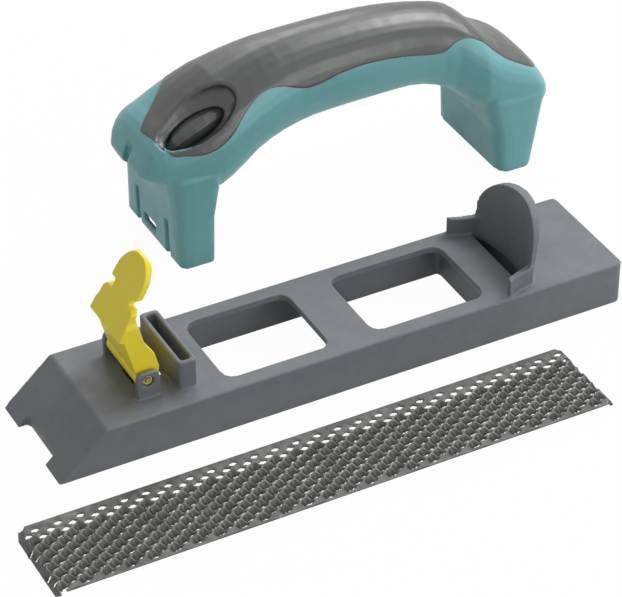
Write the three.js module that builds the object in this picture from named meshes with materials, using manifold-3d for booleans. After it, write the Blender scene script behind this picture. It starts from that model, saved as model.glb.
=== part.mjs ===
// Rasp plane, taken apart and laid out: the base, the lift-off handle standing behind it
// and the rasp blade lying in front. Millimetres, +Z up, +X towards the rear of the tool.
// The origin is the middle of the cross rib on the base's sole, under the web between its windows.
import * as THREE from "three";
import { mergeVertices } from "three/addons/utils/BufferGeometryUtils.js";
import Module from "manifold-3d";

const wasm = await Module();
wasm.setup();

// Base
const baseLength = 265;
const baseWidth = 56.4;
const baseHeight = 20.4;
const deckThickness = 3;
const baseEdgeRadius = 1;
const baseCornerRadius = 4;
const noseSlopeLength = 22.5;
const noseNotchWidth = 27;
const noseNotchDepth = 5.5;
const noseNotchRadius = 2;

// Windows through the base
const frontWindowLength = 48;
const rearWindowLength = 54;
const windowWidth = 41.6;
const windowRadius = 6;
const windowWeb = 20;
const rearDeckLength = 64;

// Hollow under the deck, with two ribs across it
const sideWall = 1.8;
const endWall = 4;
const slopeWall = 3.2;
const ribThickness = 3;
const webRibSetback = 2;
const rearRibSetback = 4.2;
const hollowRadius = 2;

// Slotted post that the handle's front foot drops over
const postThickness = 8.4;
const postWidth = 38;
const postHeight = 13.6;
const postRadius = 2;
const postSlotLength = 34;
const postSlotWidth = 4.4;
const postSlotRadius = 1.4;
const postToWindow = 12.1;

// Tension lever, its ears and its pin
const pinToPost = 12.4;
const pinHeightOverDeck = 8;
const pinDiameter = 2;
const pinRecess = 0.5;
const trunnionDiameter = 4.4;
const trunnionRecess = 1.2;
const earWidth = 10;
const earThickness = 2.5;
const earHeight = 12.3;
const earRadius = 2.8;
const leverWidth = 28;
const leverSideGap = 0.6;
const leverWall = 2.2;
const leverEdgeRadius = 0.5;
const leverBarrelRadius = 4.6;
const leverFootReach = 6.6;
const leverLowerArm = 24.8;
const leverArmLean = 14.8;
const leverWebSetback = 3.4;
const leverFlangeDepth = 10.4;
const leverFlangeTopDepth = 8;
const leverPadLength = 31;
const leverPadStraight = 4;
const leverPadWidth = 22.5;
const leverPadLean = 31;
const leverPadThickness = 2.6;
const leverNeckWidth = 15;
const leverNeckLength = 4;
const leverTabSize = 11;
const leverTabWidth = 26;
const leverTabRadius = 1.8;

// Tension hook that the lever pulls
const hookArm = 10;
const hookRestAngle = -11;
const hookPinDiameter = 2.4;
const hookTabThickness = 3;
const hookSlotPlay = 0.4;
const hookSlotTravel = 3.7;
const hookTabWall = 1.8;
const hookPlateThickness = 1.5;
const hookSideGap = 8;
const hookPlateDrop = 6;
const hookReach = 27;
const hookLip = 9;
const hookTravel = 6;
const lugThickness = 2.8;
const lugRadius = 2.4;
const hookRailHeight = 1.8;

// Rear tongue: a leaf that leans back and is bowed in plan, between two cheeks
const tongueFromRear = 40.3;
const tongueWidth = 54;
const cheekHeight = 8.2;
const cheekLength = 16;
const leafWidth = 46;
const leafHeight = 30.8;
const leafThickness = 4.2;
const leafStraight = 11.6;
const leafSweep = 5;
const leafEdgeTaper = 2.6;
const leafLeanShare = 0.11;
const leafSquareShare = 2.15;
const tongueSlotLength = 41;
const tongueSlotWidth = 6.6;
const tongueSlotDepth = 10.8;
const tongueSlotWall = 1.6;
const tongueSlotRadius = 1;

// Anchor plate for the blade's rear end, screwed up under the deck
const anchorLength = 16;
const anchorSideGap = 6.4;
const anchorThickness = 1.6;
const anchorLip = 7;
const screwHeadDiameter = 6;
const screwHeadHeight = 2;
const screwShankDiameter = 2.9;
const screwShankLength = 6;
const screwSpacing = 26;
const screwBossHeight = 6;

// Rasp blade
const bladeLength = 250;
const bladeWidth = 42;
const bladeThickness = 0.8;
const bladeEndStrip = 11;
const bladeEndBend = 20;
const bladeMargin = 5.2;
const holePitch = 9.8;
const holeRowPitch = 2.05;
const holeRowShift = 4.15;
const holeLength = 3.6;
const holeWidth = 2.8;
const edgeNotchRadius = 1.6;
const edgeNotchFromEnd = 8;
const bladeFrontOffset = 27.9;
const bladeSideGap = 21;

// Handle
const handleLength = 204;
const handleHeight = 86.8;
const handleFootWidth = 59;
const handleSideGap = 51.8;
const noseToFrontFoot = 12.3;
const frontFootLength = 16.8;
const rearFootLength = 17.5;
const footSpan = 179.7;
const footRadius = 5;
const footHeight = 46;
const footWall = 2.4;
const socketPlay = 1.5;
const frontFaceSlotWidth = 3;
const frontFaceSlotHeight = 19;
const frontFaceSlotSpacing = 30;
const frontFaceSlotDepth = 1.8;
const catchWindowWidth = 12;
const catchWindowHeight = 5;
const catchWindowBase = 4;
const catchWindowShift = 3;
const noseGrooveWidth = 5;
const noseGrooveDepth = 3.5;
const handleRearOffset = 4.5;

// Soft grip and the release button
const gripThickness = 2.5;
const recessLength = 42;
const recessWidth = 24;
const recessDepth = 8;
const recessFromNose = 27;
const recessSlope = 24;
const recessTilt = 34;
const recessSide = 15;
const buttonLength = 30;
const buttonWidth = 12;
const buttonCrown = 3.5;
const buttonDomeShare = 1.25;
const buttonDepth = 7;
const buttonTravel = 2;
const buttonShift = 2.5;
const springDiameter = 7;
const springWire = 1;
const springTurns = 4;

// Clearances
const seam = 0.3;
const pinPlay = 0.3;
const cut = 1;

// Resolution of round shapes
const arcSteps = 3;
const roundSides = 20;
const sectionSides = 30;
const sectionCount = 36;
const notchSides = 8;
const coilSteps = 10;
const wireSteps = 3;

const degree = Math.PI / 180;

// Places worked out from the driving dimensions
const baseRear = ribThickness / 2 + webRibSetback + rearWindowLength + rearDeckLength;
const baseFront = baseRear - baseLength;
const deckUnderside = baseHeight - deckThickness;
const hollowWidth = baseWidth - 2 * sideWall;
const windowTwoRear = baseRear - rearDeckLength;
const windowTwoFront = windowTwoRear - rearWindowLength;
const windowOneRear = windowTwoFront - windowWeb;
const windowOneFront = windowOneRear - frontWindowLength;
const rearRibFront = windowTwoRear + rearRibSetback;
const postRear = windowOneFront - postToWindow;
const postFront = postRear - postThickness;
const pinX = postFront - pinToPost;
const pinZ = baseHeight + pinHeightOverDeck;
const earInner = leverWidth / 2 + leverSideGap;
const earOuter = earInner + earThickness;
const tongueX = baseRear - tongueFromRear;

const handleY = baseWidth / 2 + handleSideGap + handleFootWidth / 2;
const handleRear = baseRear + handleFootWidth / 2 + handleRearOffset;
const noseX = handleRear - handleLength;
const frontFootX = noseX + noseToFrontFoot;
const rearFootEnd = frontFootX + footSpan;
const rearFootX = rearFootEnd - rearFootLength;

// Solids

function solid(geometry) {
  const bare = geometry.clone();
  bare.deleteAttribute("normal");
  bare.deleteAttribute("uv");
  const merged = mergeVertices(bare);
  const vertProperties = new Float32Array(merged.attributes.position.array);
  const triVerts = new Uint32Array(merged.index.array);
  return new wasm.Manifold(new wasm.Mesh({ numProp: 3, vertProperties, triVerts }));
}

function geometryOf(body) {
  const mesh = body.getMesh();
  const geometry = new THREE.BufferGeometry();
  geometry.setAttribute("position", new THREE.BufferAttribute(mesh.vertProperties, mesh.numProp));
  geometry.setIndex(new THREE.BufferAttribute(mesh.triVerts, 1));
  geometry.computeVertexNormals();
  return geometry;
}

function block([x0, x1], [y0, y1], [z0, z1]) {
  const geometry = new THREE.BoxGeometry(x1 - x0, y1 - y0, z1 - z0);
  geometry.translate((x0 + x1) / 2, (y0 + y1) / 2, (z0 + z1) / 2);
  return solid(geometry);
}

// A closed outline whose corners are rounded, to one radius or to a list of them
function roundedShape(corners, radius) {
  const radii = Array.isArray(radius) ? radius : corners.map(() => radius);
  const shape = new THREE.Shape();
  corners.forEach(([x, y], index) => {
    const corner = new THREE.Vector2(x, y);
    const before = new THREE.Vector2(...corners[(index + corners.length - 1) % corners.length]);
    const after = new THREE.Vector2(...corners[(index + 1) % corners.length]);
    const inward = before.sub(corner);
    const outward = after.sub(corner);
    const from = Math.min(radii[index], inward.length() / 2);
    const to = Math.min(radii[index], outward.length() / 2);
    const start = corner.clone().add(inward.setLength(from));
    const end = corner.clone().add(outward.setLength(to));
    if (index === 0) {
      shape.moveTo(start.x, start.y);
    } else {
      shape.lineTo(start.x, start.y);
    }
    shape.quadraticCurveTo(corner.x, corner.y, end.x, end.y);
  });
  shape.closePath();
  return shape;
}

function rectangle([u0, u1], [v0, v1], radius) {
  return roundedShape([[u0, v0], [u1, v0], [u1, v1], [u0, v1]], radius);
}

function extruded(shape, depth, curveSegments = arcSteps) {
  return new THREE.ExtrudeGeometry(shape, { depth, bevelEnabled: false, curveSegments });
}

// Prisms: the outline lies in the plane across the named axis
function prismZ(shape, [z0, z1]) {
  return solid(extruded(shape, z1 - z0).translate(0, 0, z0));
}

function prismY(shape, [y0, y1]) {
  return solid(extruded(shape, y1 - y0).rotateX(Math.PI / 2).translate(0, y1, 0));
}

function prismX(shape, [x0, x1]) {
  const turn = new THREE.Matrix4().makeBasis(
    new THREE.Vector3(0, 1, 0),
    new THREE.Vector3(0, 0, 1),
    new THREE.Vector3(1, 0, 0),
  );
  return solid(extruded(shape, x1 - x0).applyMatrix4(turn).translate(x0, 0, 0));
}

function rodY(x, z, radius, [y0, y1], sides = roundSides) {
  const geometry = new THREE.CylinderGeometry(radius, radius, y1 - y0, sides);
  return solid(geometry.translate(x, (y0 + y1) / 2, z));
}

function rodZ(x, y, radius, [z0, z1], sides = roundSides) {
  const geometry = new THREE.CylinderGeometry(radius, radius, z1 - z0, sides).rotateX(Math.PI / 2);
  return solid(geometry.translate(x, y, (z0 + z1) / 2));
}

function join(bodies) {
  return bodies.reduce((whole, body) => whole.add(body));
}

function drill(body, tools) {
  return tools.reduce((whole, tool) => whole.subtract(tool), body);
}

// A closed skin over rings that all have the same number of points
function loft(rings) {
  const points = rings.flat();
  const count = rings[0].length;
  const triangles = [];
  for (let ring = 0; ring + 1 < rings.length; ring += 1) {
    for (let step = 0; step < count; step += 1) {
      const next = (step + 1) % count;
      const a = ring * count + step;
      const b = ring * count + next;
      const c = a + count;
      const d = b + count;
      triangles.push(a, b, d, a, d, c);
    }
  }
  const last = (rings.length - 1) * count;
  for (let step = 1; step + 1 < count; step += 1) {
    triangles.push(0, step + 1, step, last, last + step, last + step + 1);
  }
  const geometry = new THREE.BufferGeometry();
  const position = points.flatMap((point) => [point.x, point.y, point.z]);
  geometry.setAttribute("position", new THREE.Float32BufferAttribute(position, 3));
  geometry.setIndex(triangles);
  return solid(geometry);
}

// A smooth value between listed places: each entry is [place, value]
function along(entries, place) {
  const last = entries.length - 1;
  if (place <= entries[0][0]) {
    return entries[0][1];
  }
  if (place >= entries[last][0]) {
    return entries[last][1];
  }
  const index = entries.findIndex(([at]) => at > place) - 1;
  const [p1, v1] = entries[index];
  const [p2, v2] = entries[index + 1];
  const [p0, v0] = entries[Math.max(index - 1, 0)];
  const [p3, v3] = entries[Math.min(index + 2, last)];
  const step = p2 - p1;
  const t = (place - p1) / step;
  const slope1 = ((v2 - v0) / (p2 - p0)) * step;
  const slope2 = ((v3 - v1) / (p3 - p1)) * step;
  const rise = v2 - v1;
  return v1 + t * (slope1 + t * (3 * rise - 2 * slope1 - slope2 + t * (slope1 + slope2 - 2 * rise)));
}

function named(name, body, colour, roughness, metalness) {
  const material = new THREE.MeshStandardMaterial({ color: colour, roughness, metalness });
  const mesh = new THREE.Mesh(geometryOf(body), material);
  mesh.name = name;
  return mesh;
}

// Base body

function baseBlock() {
  const side = roundedShape([
    [baseFront, 0],
    [baseRear, 0],
    [baseRear, baseHeight],
    [baseFront + noseSlopeLength, baseHeight],
  ], baseEdgeRadius);
  const plan = rectangle([baseFront - cut, baseRear], [-baseWidth / 2, baseWidth / 2], baseCornerRadius);
  const half = baseWidth / 2;
  const section = rectangle([-half, half], [0, baseHeight], baseEdgeRadius);
  return prismY(side, [-half, half])
    .intersect(prismZ(plan, [-cut, baseHeight + cut]))
    .intersect(prismX(section, [baseFront - cut, baseRear + cut]));
}

function noseNotch() {
  const half = noseNotchWidth / 2;
  const plan = rectangle(
    [baseFront - noseNotchDepth, baseFront + noseNotchDepth],
    [-half, half],
    noseNotchRadius,
  );
  return prismZ(plan, [-cut, baseHeight + cut]);
}

function windowCut(front, rear) {
  const plan = rectangle([front, rear], [-windowWidth / 2, windowWidth / 2], windowRadius);
  return prismZ(plan, [-cut, baseHeight + cut]);
}

// The front hollow follows the slope of the nose, a wall's thickness inside it
function frontHollow() {
  const steep = baseHeight / noseSlopeLength;
  const wall = slopeWall * Math.hypot(1, steep);
  const start = baseFront + noseNotchDepth + slopeWall + endWall;
  const startHeight = (start - baseFront) * steep - wall;
  const shoulder = baseFront + (deckUnderside + wall) / steep;
  const outline = new THREE.Shape([
    new THREE.Vector2(start, -cut),
    new THREE.Vector2(-ribThickness / 2, -cut),
    new THREE.Vector2(-ribThickness / 2, deckUnderside),
    new THREE.Vector2(shoulder, deckUnderside),
    new THREE.Vector2(start, startHeight),
  ]);
  return prismY(outline, [-hollowWidth / 2, hollowWidth / 2]);
}

function hollow(front, rear) {
  const plan = rectangle([front, rear], [-hollowWidth / 2, hollowWidth / 2], hollowRadius);
  return prismZ(plan, [-cut, deckUnderside]);
}

function post() {
  const plan = rectangle([postFront, postRear], [-postWidth / 2, postWidth / 2], postRadius);
  return prismZ(plan, [deckUnderside, baseHeight + postHeight]);
}

function postSlot() {
  const middle = (postFront + postRear) / 2;
  const plan = rectangle(
    [middle - postSlotWidth / 2, middle + postSlotWidth / 2],
    [-postSlotLength / 2, postSlotLength / 2],
    postSlotRadius,
  );
  return prismZ(plan, [deckUnderside - cut, baseHeight + postHeight + cut]);
}

function ear(side) {
  const outline = roundedShape([
    [pinX - earWidth / 2, deckUnderside],
    [pinX + earWidth / 2, deckUnderside],
    [pinX + earWidth / 2, baseHeight + earHeight],
    [pinX - earWidth / 2, baseHeight + earHeight],
  ], [leverEdgeRadius, leverEdgeRadius, earRadius, earRadius]);
  const span = side > 0 ? [earInner, earOuter] : [-earOuter, -earInner];
  return prismY(outline, span);
}

// Deck opening behind the lever's web, in which its lugs and the hook's tab work
const hookPinRestX = pinX - hookArm * Math.sin(hookRestAngle * degree);
const hookPinRestZ = pinZ - hookArm * Math.cos(hookRestAngle * degree);
const hookTabHalf = hookPinDiameter / 2 + hookSlotPlay + hookTabWall;
const openingFront = hookPinRestX - hookTabHalf - 2 * pinPlay;
const openingRear = hookPinRestX + hookTravel + hookTabHalf + 2 * pinPlay;
const lugInner = hookTabThickness / 2 + leverSideGap;
const lugOuter = lugInner + lugThickness;

function leverOpening() {
  const half = lugOuter + leverSideGap;
  const plan = rectangle([openingFront, openingRear], [-half, half], leverEdgeRadius);
  return prismZ(plan, [deckUnderside - cut, baseHeight + cut]);
}

// Ledges under the deck that carry the hook plate
const hookPlateWidth = hollowWidth - 2 * hookSideGap;
const hookPlateTop = deckUnderside - hookPlateDrop + hookRailHeight + seam;
const hookPlateBottom = hookPlateTop - hookPlateThickness;

function hookRails() {
  const railFront = hookPinRestX - hookReach / 2;
  const inner = hookPlateWidth / 2 - hookRailHeight;
  const wall = baseWidth / 2 - sideWall / 2;
  return [-1, 1].map((side) => {
    const span = side > 0 ? [inner, wall] : [-wall, -inner];
    const top = hookPlateBottom - seam;
    return block([railFront, openingRear], span, [top - hookRailHeight, top]);
  });
}

// Rear tongue. Its plans are drawn at the deck's top and lean back above it
function leaning(plan) {
  const reach = baseHeight + leafHeight;
  const lean = new THREE.Matrix4().makeShear(0, 0, 0, 0, leafLeanShare, 0);
  const upright = extruded(plan, reach, roundSides / 2);
  return solid(upright.applyMatrix4(lean).translate(-leafLeanShare * baseHeight, 0, 0));
}

function leafPlan() {
  const half = leafWidth / 2;
  const front = tongueX - leafSweep;
  const back = front + leafThickness;
  const shape = new THREE.Shape();
  shape.moveTo(front, -half);
  shape.quadraticCurveTo(front + 2 * leafSweep, 0, front, half);
  shape.lineTo(back, half - leafEdgeTaper);
  shape.quadraticCurveTo(back + 2 * leafSweep, 0, back, leafEdgeTaper - half);
  shape.closePath();
  return shape;
}

// All that lies ahead of the leaf's back
function roomAheadPlan() {
  const half = leafWidth / 2;
  const wide = tongueWidth / 2 + cut;
  const front = tongueX - cheekLength - cut;
  const back = tongueX - leafSweep + leafThickness;
  const shape = new THREE.Shape();
  shape.moveTo(front, -wide);
  shape.lineTo(back, -wide);
  shape.lineTo(back, -half);
  shape.quadraticCurveTo(back + 2 * leafSweep, 0, back, half);
  shape.lineTo(back, wide);
  shape.lineTo(front, wide);
  shape.closePath();
  return shape;
}

// The leaf from the front: straight sides under a squarish arch
function leafOutline() {
  const half = leafWidth / 2;
  const spring = baseHeight + leafStraight;
  const power = 2 / leafSquareShare;
  const arch = Array.from({ length: roundSides + 1 }, (_, step) => {
    const turn = (Math.PI * step) / roundSides;
    const across = Math.cos(turn);
    return new THREE.Vector2(
      half * Math.sign(across) * Math.abs(across) ** power,
      spring + (leafHeight - leafStraight) * Math.sin(turn) ** power,
    );
  });
  const foot = [new THREE.Vector2(-half, deckUnderside), new THREE.Vector2(half, deckUnderside)];
  return prismX(new THREE.Shape([...foot, ...arch]), [tongueX - cheekLength - cut, baseRear]);
}

// A cheek's plan: places ahead of the leaf and out from the middle
const cheekPlanShares = [
  [1, 1], [0.83, 0.955], [0.6, 0.905], [0.31, 0.865], [0.1, 0.83],
  [0.1, 0.7], [0.25, 0.74], [0.45, 0.775], [0.7, 0.825], [0.96, 0.89],
];

function tongueCheek(side) {
  const half = tongueWidth / 2;
  const plan = new THREE.Shape(cheekPlanShares.map(([ahead, out]) => new THREE.Vector2(
    tongueX - ahead * cheekLength,
    side * out * half,
  )));
  return prismZ(plan, [deckUnderside, baseHeight + cheekHeight]).intersect(leaning(roomAheadPlan()));
}

// Blind slot up to the leaf's foot, in a box that hangs under the deck
const tongueSlotFront = tongueX - tongueSlotWidth;
const tongueSlotFloor = baseHeight - tongueSlotDepth;

function tongueSlotBox() {
  const half = tongueSlotLength / 2 + tongueSlotWall;
  return block(
    [tongueSlotFront - tongueSlotWall, tongueX + tongueSlotWall],
    [-half, half],
    [tongueSlotFloor - tongueSlotWall, deckUnderside + deckThickness / 2],
  );
}

function tongueSlot() {
  const half = tongueSlotLength / 2;
  const plan = rectangle([tongueSlotFront, tongueX], [-half, half], tongueSlotRadius);
  return prismZ(plan, [tongueSlotFloor, baseHeight + cut]);
}

// Rear anchor plate, screwed up into two bosses
const anchorWidth = hollowWidth - 2 * anchorSideGap;
const anchorX = baseRear - endWall - anchorLength - 2 * seam;
const bossBottom = deckUnderside - screwBossHeight;
const screwX = anchorX + anchorLength / 2;

function screwBosses() {
  return [-1, 1].map((side) => rodZ(
    screwX,
    (side * screwSpacing) / 2,
    screwHeadDiameter / 2 + pinPlay,
    [bossBottom, deckUnderside + cut],
  ));
}

function screwHoles(low, high) {
  return [-1, 1].map((side) => rodZ(
    screwX,
    (side * screwSpacing) / 2,
    screwShankDiameter / 2 + pinPlay,
    [low, high],
  ));
}

function baseBody() {
  const shell = drill(baseBlock(), [
    noseNotch(),
    windowCut(windowOneFront, windowOneRear),
    windowCut(windowTwoFront, windowTwoRear),
    frontHollow(),
    hollow(ribThickness / 2, rearRibFront),
    hollow(rearRibFront + ribThickness, baseRear - endWall),
  ]);
  const raised = join([
    shell.add(tongueSlotBox()).subtract(tongueSlot()),
    post(),
    ear(-1),
    ear(1),
    leaning(leafPlan()).intersect(leafOutline()),
    tongueCheek(-1),
    tongueCheek(1),
    ...hookRails(),
    ...screwBosses(),
  ]);
  return drill(raised, [
    postSlot(),
    leverOpening(),
    rodY(pinX, pinZ, trunnionDiameter / 2 + pinPlay, [-earOuter - cut, earOuter + cut]),
    ...screwHoles(bossBottom - cut, bossBottom + screwShankLength),
  ]);
}

function leverPin() {
  const end = earOuter - pinRecess;
  return rodY(pinX, pinZ, pinDiameter / 2, [-end, end]);
}

// Tension lever, modelled in its own plane: u runs across the arm, v along it from the pin
function leverArmPoint(u, v) {
  const lean = leverArmLean * degree;
  return [
    pinX + u * Math.cos(lean) - v * Math.sin(lean),
    pinZ + u * Math.sin(lean) + v * Math.cos(lean),
  ];
}

function leverPadPoint(u, v) {
  const [elbowX, elbowZ] = leverArmPoint(-leverWebSetback, leverLowerArm);
  const lean = leverPadLean * degree;
  return [
    elbowX + u * Math.cos(lean) + v * Math.sin(lean),
    elbowZ - u * Math.sin(lean) + v * Math.cos(lean),
  ];
}

function leverWeb() {
  const outline = roundedShape([
    leverArmPoint(-leverWebSetback, -leverFootReach),
    leverArmPoint(-leverWebSetback + leverWall, -leverFootReach),
    leverArmPoint(-leverWebSetback + leverWall, leverLowerArm),
    leverArmPoint(-leverWebSetback, leverLowerArm),
  ], leverEdgeRadius);
  return prismY(outline, [-leverWidth / 2, leverWidth / 2]);
}

// A side wall of the arm, from its foot up to the back of the tab
function leverFlange([y0, y1]) {
  const front = -leverWebSetback + leverWall / 2;
  const deep = -leverWebSetback + leverFlangeDepth;
  const shallow = -leverWebSetback + leverFlangeTopDepth;
  const outline = roundedShape([
    leverArmPoint(front, -leverFootReach),
    leverArmPoint(front + leverWall, -leverFootReach),
    leverArmPoint(leverBarrelRadius, -leverBarrelRadius),
    leverArmPoint(deep, leverBarrelRadius / 2),
    leverArmPoint(deep, 2 * leverBarrelRadius),
    leverArmPoint(shallow, (2 * leverLowerArm) / 3),
    leverArmPoint(shallow, leverLowerArm),
    leverPadPoint(leverPadThickness, leverTabSize - leverTabRadius),
    leverPadPoint(leverPadThickness / 2, leverTabSize - leverTabRadius),
    leverPadPoint(leverPadThickness / 2, 0),
  ], leverEdgeRadius);
  return prismY(outline, [y0, y1]);
}

function leverPadSlab() {
  const side = roundedShape([
    leverPadPoint(0, -leverPadThickness),
    leverPadPoint(leverPadThickness, -leverPadThickness),
    leverPadPoint(leverPadThickness, leverPadLength),
    leverPadPoint(0, leverPadLength),
  ], leverEdgeRadius);
  return prismY(side, [-leverWidth / 2, leverWidth / 2]);
}

// The lever from the front: its arm, two tabs, a neck and a rounded pad
function leverFace() {
  const height = (reach) => leverPadPoint(0, reach)[1];
  const neckHigh = leverTabSize + leverNeckLength;
  const domeLow = height(neckHigh + leverPadStraight);
  const domeRise = height(leverPadLength) - domeLow;
  const tabHalf = leverTabWidth / 2;
  const padHalf = leverPadWidth / 2;
  const side = [
    [leverWidth / 2 + cut, 0],
    [leverWidth / 2 + cut, height(0)],
    [tabHalf, height(leverTabSize / 2)],
    [tabHalf, height(leverTabSize - leverTabRadius)],
    [tabHalf - leverTabRadius, height(leverTabSize)],
    [leverNeckWidth / 2, height(leverTabSize)],
    [leverNeckWidth / 2, height(neckHigh)],
    [padHalf - leverEdgeRadius, height(neckHigh)],
    [padHalf, height(neckHigh + leverEdgeRadius)],
  ];
  const dome = Array.from({ length: roundSides + 1 }, (_, step) => {
    const turn = (Math.PI * step) / roundSides;
    return [padHalf * Math.cos(turn), domeLow + domeRise * Math.sin(turn)];
  });
  const otherSide = side.map(([y, z]) => [-y, z]).reverse();
  const points = [...side, ...dome, ...otherSide].map(([y, z]) => new THREE.Vector2(y, z));
  return prismX(new THREE.Shape(points), [pinX - leverLowerArm, pinX + leverLowerArm]);
}

// Lugs either side of the hook's tab, carrying the hook pin
function leverLug([y0, y1]) {
  const eye = rodY(hookPinRestX, hookPinRestZ, lugRadius, [y0, y1]);
  const arm = roundedShape([
    [hookPinRestX - lugRadius, hookPinRestZ],
    [hookPinRestX + lugRadius, hookPinRestZ],
    [pinX + lugRadius, pinZ],
    [pinX - lugRadius, pinZ],
  ], leverEdgeRadius);
  return eye.add(prismY(arm, [y0, y1]));
}

function tensionLever() {
  const half = leverWidth / 2;
  const plates = join([
    leverWeb(),
    leverFlange([-half, -half + leverWall]),
    leverFlange([half - leverWall, half]),
    leverPadSlab(),
  ]);
  const trunnionEnd = earOuter - trunnionRecess;
  const whole = join([
    plates.intersect(leverFace()),
    rodY(pinX, pinZ, leverBarrelRadius, [-half, half]),
    rodY(pinX, pinZ, trunnionDiameter / 2, [-trunnionEnd, trunnionEnd]),
    leverLug([-lugOuter, -lugInner]),
    leverLug([lugInner, lugOuter]),
  ]);
  const tabRoom = leverArmPoint(0, -leverBarrelRadius)[1];
  const roomTop = hookPinRestZ + hookSlotTravel + hookTabWall + hookPinDiameter / 2 + 3 * pinPlay;
  const sweep = hookTravel + hookTabHalf + leverWebSetback;
  return drill(whole, [
    rodY(pinX, pinZ, pinDiameter / 2 + pinPlay, [-trunnionEnd - cut, trunnionEnd + cut]),
    rodY(hookPinRestX, hookPinRestZ, hookPinDiameter / 2 + pinPlay, [-half, half]),
    block([pinX - sweep, pinX + sweep], [-lugInner, lugInner], [tabRoom - sweep, roomTop]),
  ]);
}

function hookPin() {
  return rodY(hookPinRestX, hookPinRestZ, hookPinDiameter / 2, [-lugOuter, lugOuter]);
}

// Tension hook: a slotted tab, a flat plate under the deck and a lip that takes the blade's end
function tensionHook() {
  const slotHalf = hookPinDiameter / 2 + hookSlotPlay;
  const slotLow = hookPinRestZ - hookPinDiameter / 2 - 2 * pinPlay;
  const slotHigh = hookPinRestZ + hookPinDiameter / 2 + hookSlotTravel;
  const tab = block(
    [hookPinRestX - hookTabHalf, hookPinRestX + hookTabHalf],
    [-hookTabThickness / 2, hookTabThickness / 2],
    [hookPlateBottom, slotHigh + hookTabWall],
  );
  const slot = block(
    [hookPinRestX - slotHalf, hookPinRestX + slotHalf],
    [-hookTabThickness, hookTabThickness],
    [slotLow, slotHigh],
  );
  const half = hookPlateWidth / 2;
  const lipX = hookPinRestX - hookReach;
  const plate = block([lipX, hookPinRestX + hookTabHalf], [-half, half], [hookPlateBottom, hookPlateTop]);
  const lipBottom = hookPlateTop - hookLip;
  const lip = block([lipX, lipX + hookPlateThickness], [-half, half], [lipBottom, hookPlateTop]);
  return join([tab, plate, lip]).subtract(slot);
}

function anchorPlate() {
  const top = bossBottom - seam;
  const half = anchorWidth / 2;
  const flat = block([anchorX, anchorX + anchorLength], [-half, half], [top - anchorThickness, top]);
  const lip = block([anchorX, anchorX + anchorThickness], [-half, half], [top - anchorLip, top]);
  return drill(flat.add(lip), screwHoles(top - 2 * anchorThickness, top + cut));
}

function anchorScrew(side) {
  const y = (side * screwSpacing) / 2;
  const seat = bossBottom - 2 * seam - anchorThickness;
  const head = rodZ(screwX, y, screwHeadDiameter / 2, [seat - screwHeadHeight, seat]);
  const shankLow = seat - screwHeadHeight / 2;
  const shank = rodZ(screwX, y, screwShankDiameter / 2, [shankLow, seat + screwShankLength]);
  const slot = block(
    [screwX - screwHeadDiameter, screwX + screwHeadDiameter],
    [y - screwHeadHeight / 4, y + screwHeadHeight / 4],
    [seat - screwHeadHeight - cut, seat - screwHeadHeight / 2],
  );
  return head.add(shank).subtract(slot);
}

// Rasp blade: a thin plate with slanting rows of holes and both ends bent down
const bladeX = baseFront - bladeFrontOffset;
const bladeY = -baseWidth / 2 - bladeSideGap - bladeWidth / 2;

function lozenge(x, y) {
  const hole = new THREE.Path();
  hole.moveTo(x - holeLength / 2, y);
  hole.lineTo(x, y - holeWidth / 2);
  hole.lineTo(x + holeLength / 2, y);
  hole.lineTo(x, y + holeWidth / 2);
  hole.closePath();
  return hole;
}

// Holes whose whole outline lies between two stations along the blade
function bladeHoles(from, to) {
  const holes = [];
  const usable = bladeWidth - 2 * bladeMargin;
  const rows = Math.floor(usable / holeRowPitch) + 1;
  const firstRow = -((rows - 1) * holeRowPitch) / 2;
  const columns = Math.ceil(bladeLength / holePitch);
  for (let row = 0; row < rows; row += 1) {
    const shift = (row * holeRowShift) % holePitch;
    for (let column = 0; column <= columns; column += 1) {
      const x = column * holePitch + shift;
      const inside = x - holeLength / 2 > from + bladeThickness && x + holeLength / 2 < to - bladeThickness;
      if (inside) {
        holes.push(lozenge(x, firstRow + row * holeRowPitch));
      }
    }
  }
  return holes;
}

function bladeSheet(from, to) {
  const half = bladeWidth / 2;
  const sheet = new THREE.Shape();
  sheet.moveTo(from, -half);
  sheet.lineTo(to, -half);
  sheet.lineTo(to, half);
  sheet.lineTo(from, half);
  sheet.closePath();
  sheet.holes.push(...bladeHoles(from, to));
  return new THREE.ExtrudeGeometry(sheet, { depth: bladeThickness, bevelEnabled: false });
}

function edgeNotches() {
  const radius = edgeNotchRadius;
  const places = [edgeNotchFromEnd, bladeLength - edgeNotchFromEnd];
  const sides = [-bladeWidth / 2, bladeWidth / 2];
  const span = [-bladeEndStrip, bladeEndStrip];
  return places.flatMap((x) => sides.map((y) => rodZ(x, y, radius, span, notchSides)));
}

const bladeLift = (bladeEndStrip + bladeThickness) * Math.sin(bladeEndBend * degree);

function raspBlade() {
  const bend = bladeEndBend * degree;
  const lap = bladeThickness;
  const middle = solid(bladeSheet(bladeEndStrip, bladeLength - bladeEndStrip));
  const front = solid(bladeSheet(0, bladeEndStrip + lap)
    .translate(-bladeEndStrip, 0, 0).rotateY(-bend).translate(bladeEndStrip, 0, 0));
  const hinge = bladeLength - bladeEndStrip;
  const rear = solid(bladeSheet(hinge - lap, bladeLength)
    .translate(-hinge, 0, 0).rotateY(bend).translate(hinge, 0, 0));
  const flat = drill(join([middle, front, rear]), edgeNotches());
  const turned = geometryOf(flat);
  turned.translate(bladeX, bladeY, bladeLift);
  return solid(turned);
}

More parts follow.
